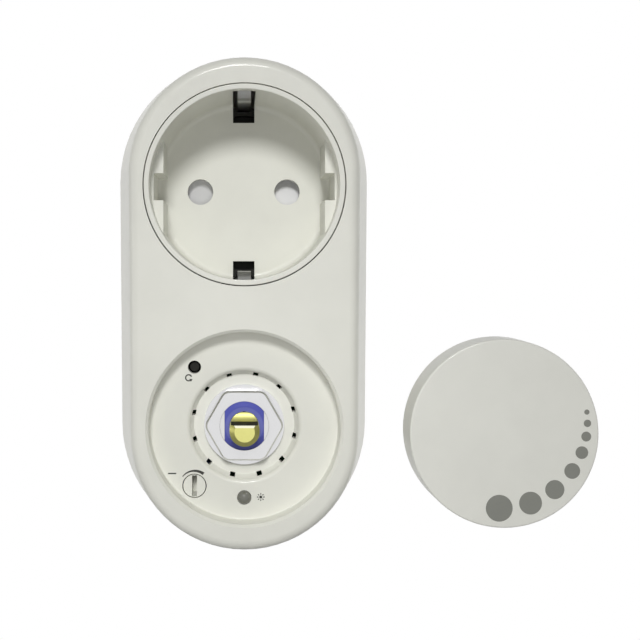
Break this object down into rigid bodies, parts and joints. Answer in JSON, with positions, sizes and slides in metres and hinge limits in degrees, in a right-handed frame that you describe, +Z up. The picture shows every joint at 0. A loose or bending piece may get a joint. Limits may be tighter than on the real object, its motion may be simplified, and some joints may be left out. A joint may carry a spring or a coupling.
{
  "type": "plug-in dimmer",
  "caption": "Stadium-shaped plug-in dimmer with an earthed socket cup, a rotary push dial with its knob pulled off beside it, trim and reset controls, and an earthed plug behind.",
  "frame": {"origin": "midway between the two plug pins, on the plug's face", "axes": "+Z up, the front with the socket and dial towards -Y, the plug pins along +Y, +X to the right seen from the front"},
  "size_m": [0.0967, 0.0783, 0.1078],
  "materials": {
    "shell": "satin moulded, fine texture",
    "knob": "satin moulded, fine texture",
    "shutter": "smooth",
    "carrier": "smooth",
    "black_plastic": "matte",
    "bushing_blue": "smooth",
    "washer_grey": "satin",
    "brass": "turned",
    "nickel": "plated",
    "spring_steel": "drawn wire",
    "screw_steel": "zinc plated",
    "aluminium": "rolled",
    "pot_can": "satin",
    "board": "solder mask",
    "lens": "domed lens",
    "trim_blue": "smooth",
    "lead_brown": "insulation",
    "lead_black": "insulation",
    "ferrite": "coated core",
    "copper_wire": "enamelled wire",
    "capacitor_yellow": "smooth",
    "fuse_glass": "tube"
  },
  "bodies": {
    "housing": {"front_cover": "shell", "rear_cover": "shell", "plug_body": "shell", "socket_insert": "shell", "shutter_spring": "spring_steel", "contact_carrier": "black_plastic", "line_contact": "brass", "neutral_contact": "brass", "earth_bow": "nickel", "pin_carrier": "carrier", "plug_pin_left": "nickel", "plug_pin_right": "nickel", "plug_earth_strips": "nickel", "neutral_link": "brass", "line_lead": "lead_brown", "dimmed_lead": "lead_black", "main_board": "board", "pot_body": "pot_can", "pot_bushing": "bushing_blue", "pot_washer": "washer_grey", "pot_nut": "washer_grey", "push_switch": "black_plastic", "switch_spring": "spring_steel", "trim_pot": "trim_blue", "reset_switch": "black_plastic", "indicator_led": "lens", "led_spacer": "carrier", "power_transistor": "black_plastic", "heat_sink": "aluminium", "choke_core": "ferrite", "choke_winding": "copper_wire", "film_capacitor": "capacitor_yellow", "fuse": "fuse_glass", "fuse_clips": "nickel", "varistor": "trim_blue", "control_chip": "black_plastic", "case_screws": "screw_steel"},
    "knob": {"knob_cap": "knob", "knob_clip": "spring_steel"},
    "switch_slider": {"switch_slider": "carrier"},
    "pot_shaft": {"pot_shaft": "brass"},
    "trim_spindle": {"trim_spindle": "shell"},
    "reset_button": {"reset_button": "black_plastic"},
    "shutter": {"shutter": "shutter"}
  },
  "joints": [
    {"name": "knob_turn", "type": "hinge", "parent": "housing", "child": "knob", "pos_m": [0.0506, -0.0576, -0.0492], "axis": [0, -1, 0], "range_deg": [-135, 135]},
    {"name": "shaft_press", "type": "slide", "parent": "housing", "child": "switch_slider", "axis": [0, 1, 0], "range_m": [0, 0.0015], "stiffness_N_per_m": 2000, "springref_m": -0.0005, "deforming": ["switch_spring"]},
    {"name": "shaft_turn", "type": "hinge", "parent": "switch_slider", "child": "pot_shaft", "pos_m": [0, -0.0576, -0.0492], "axis": [0, -1, 0], "range_deg": [-135, 135]},
    {"name": "min_trim", "type": "hinge", "parent": "housing", "child": "trim_spindle", "pos_m": [-0.01025, -0.0485, -0.06165], "axis": [0, -1, 0], "range_deg": [-105, 105]},
    {"name": "reset_press", "type": "slide", "parent": "housing", "child": "reset_button", "axis": [0, 1, 0], "range_m": [0, 0.0004], "stiffness_N_per_m": 1500, "springref_m": -0.0005},
    {"name": "shutter_turn", "type": "hinge", "parent": "housing", "child": "shutter", "pos_m": [0, -0.0314, 0], "axis": [0, 1, 0], "range_deg": [0, 42], "stiffness_Nm_per_rad": 0.02, "springref_deg": -11.46, "deforming": ["shutter_spring"]}
  ],
  "couplings": [
    {"joint": "shaft_turn", "follows": "knob_turn", "ratio": 1}
  ]
}
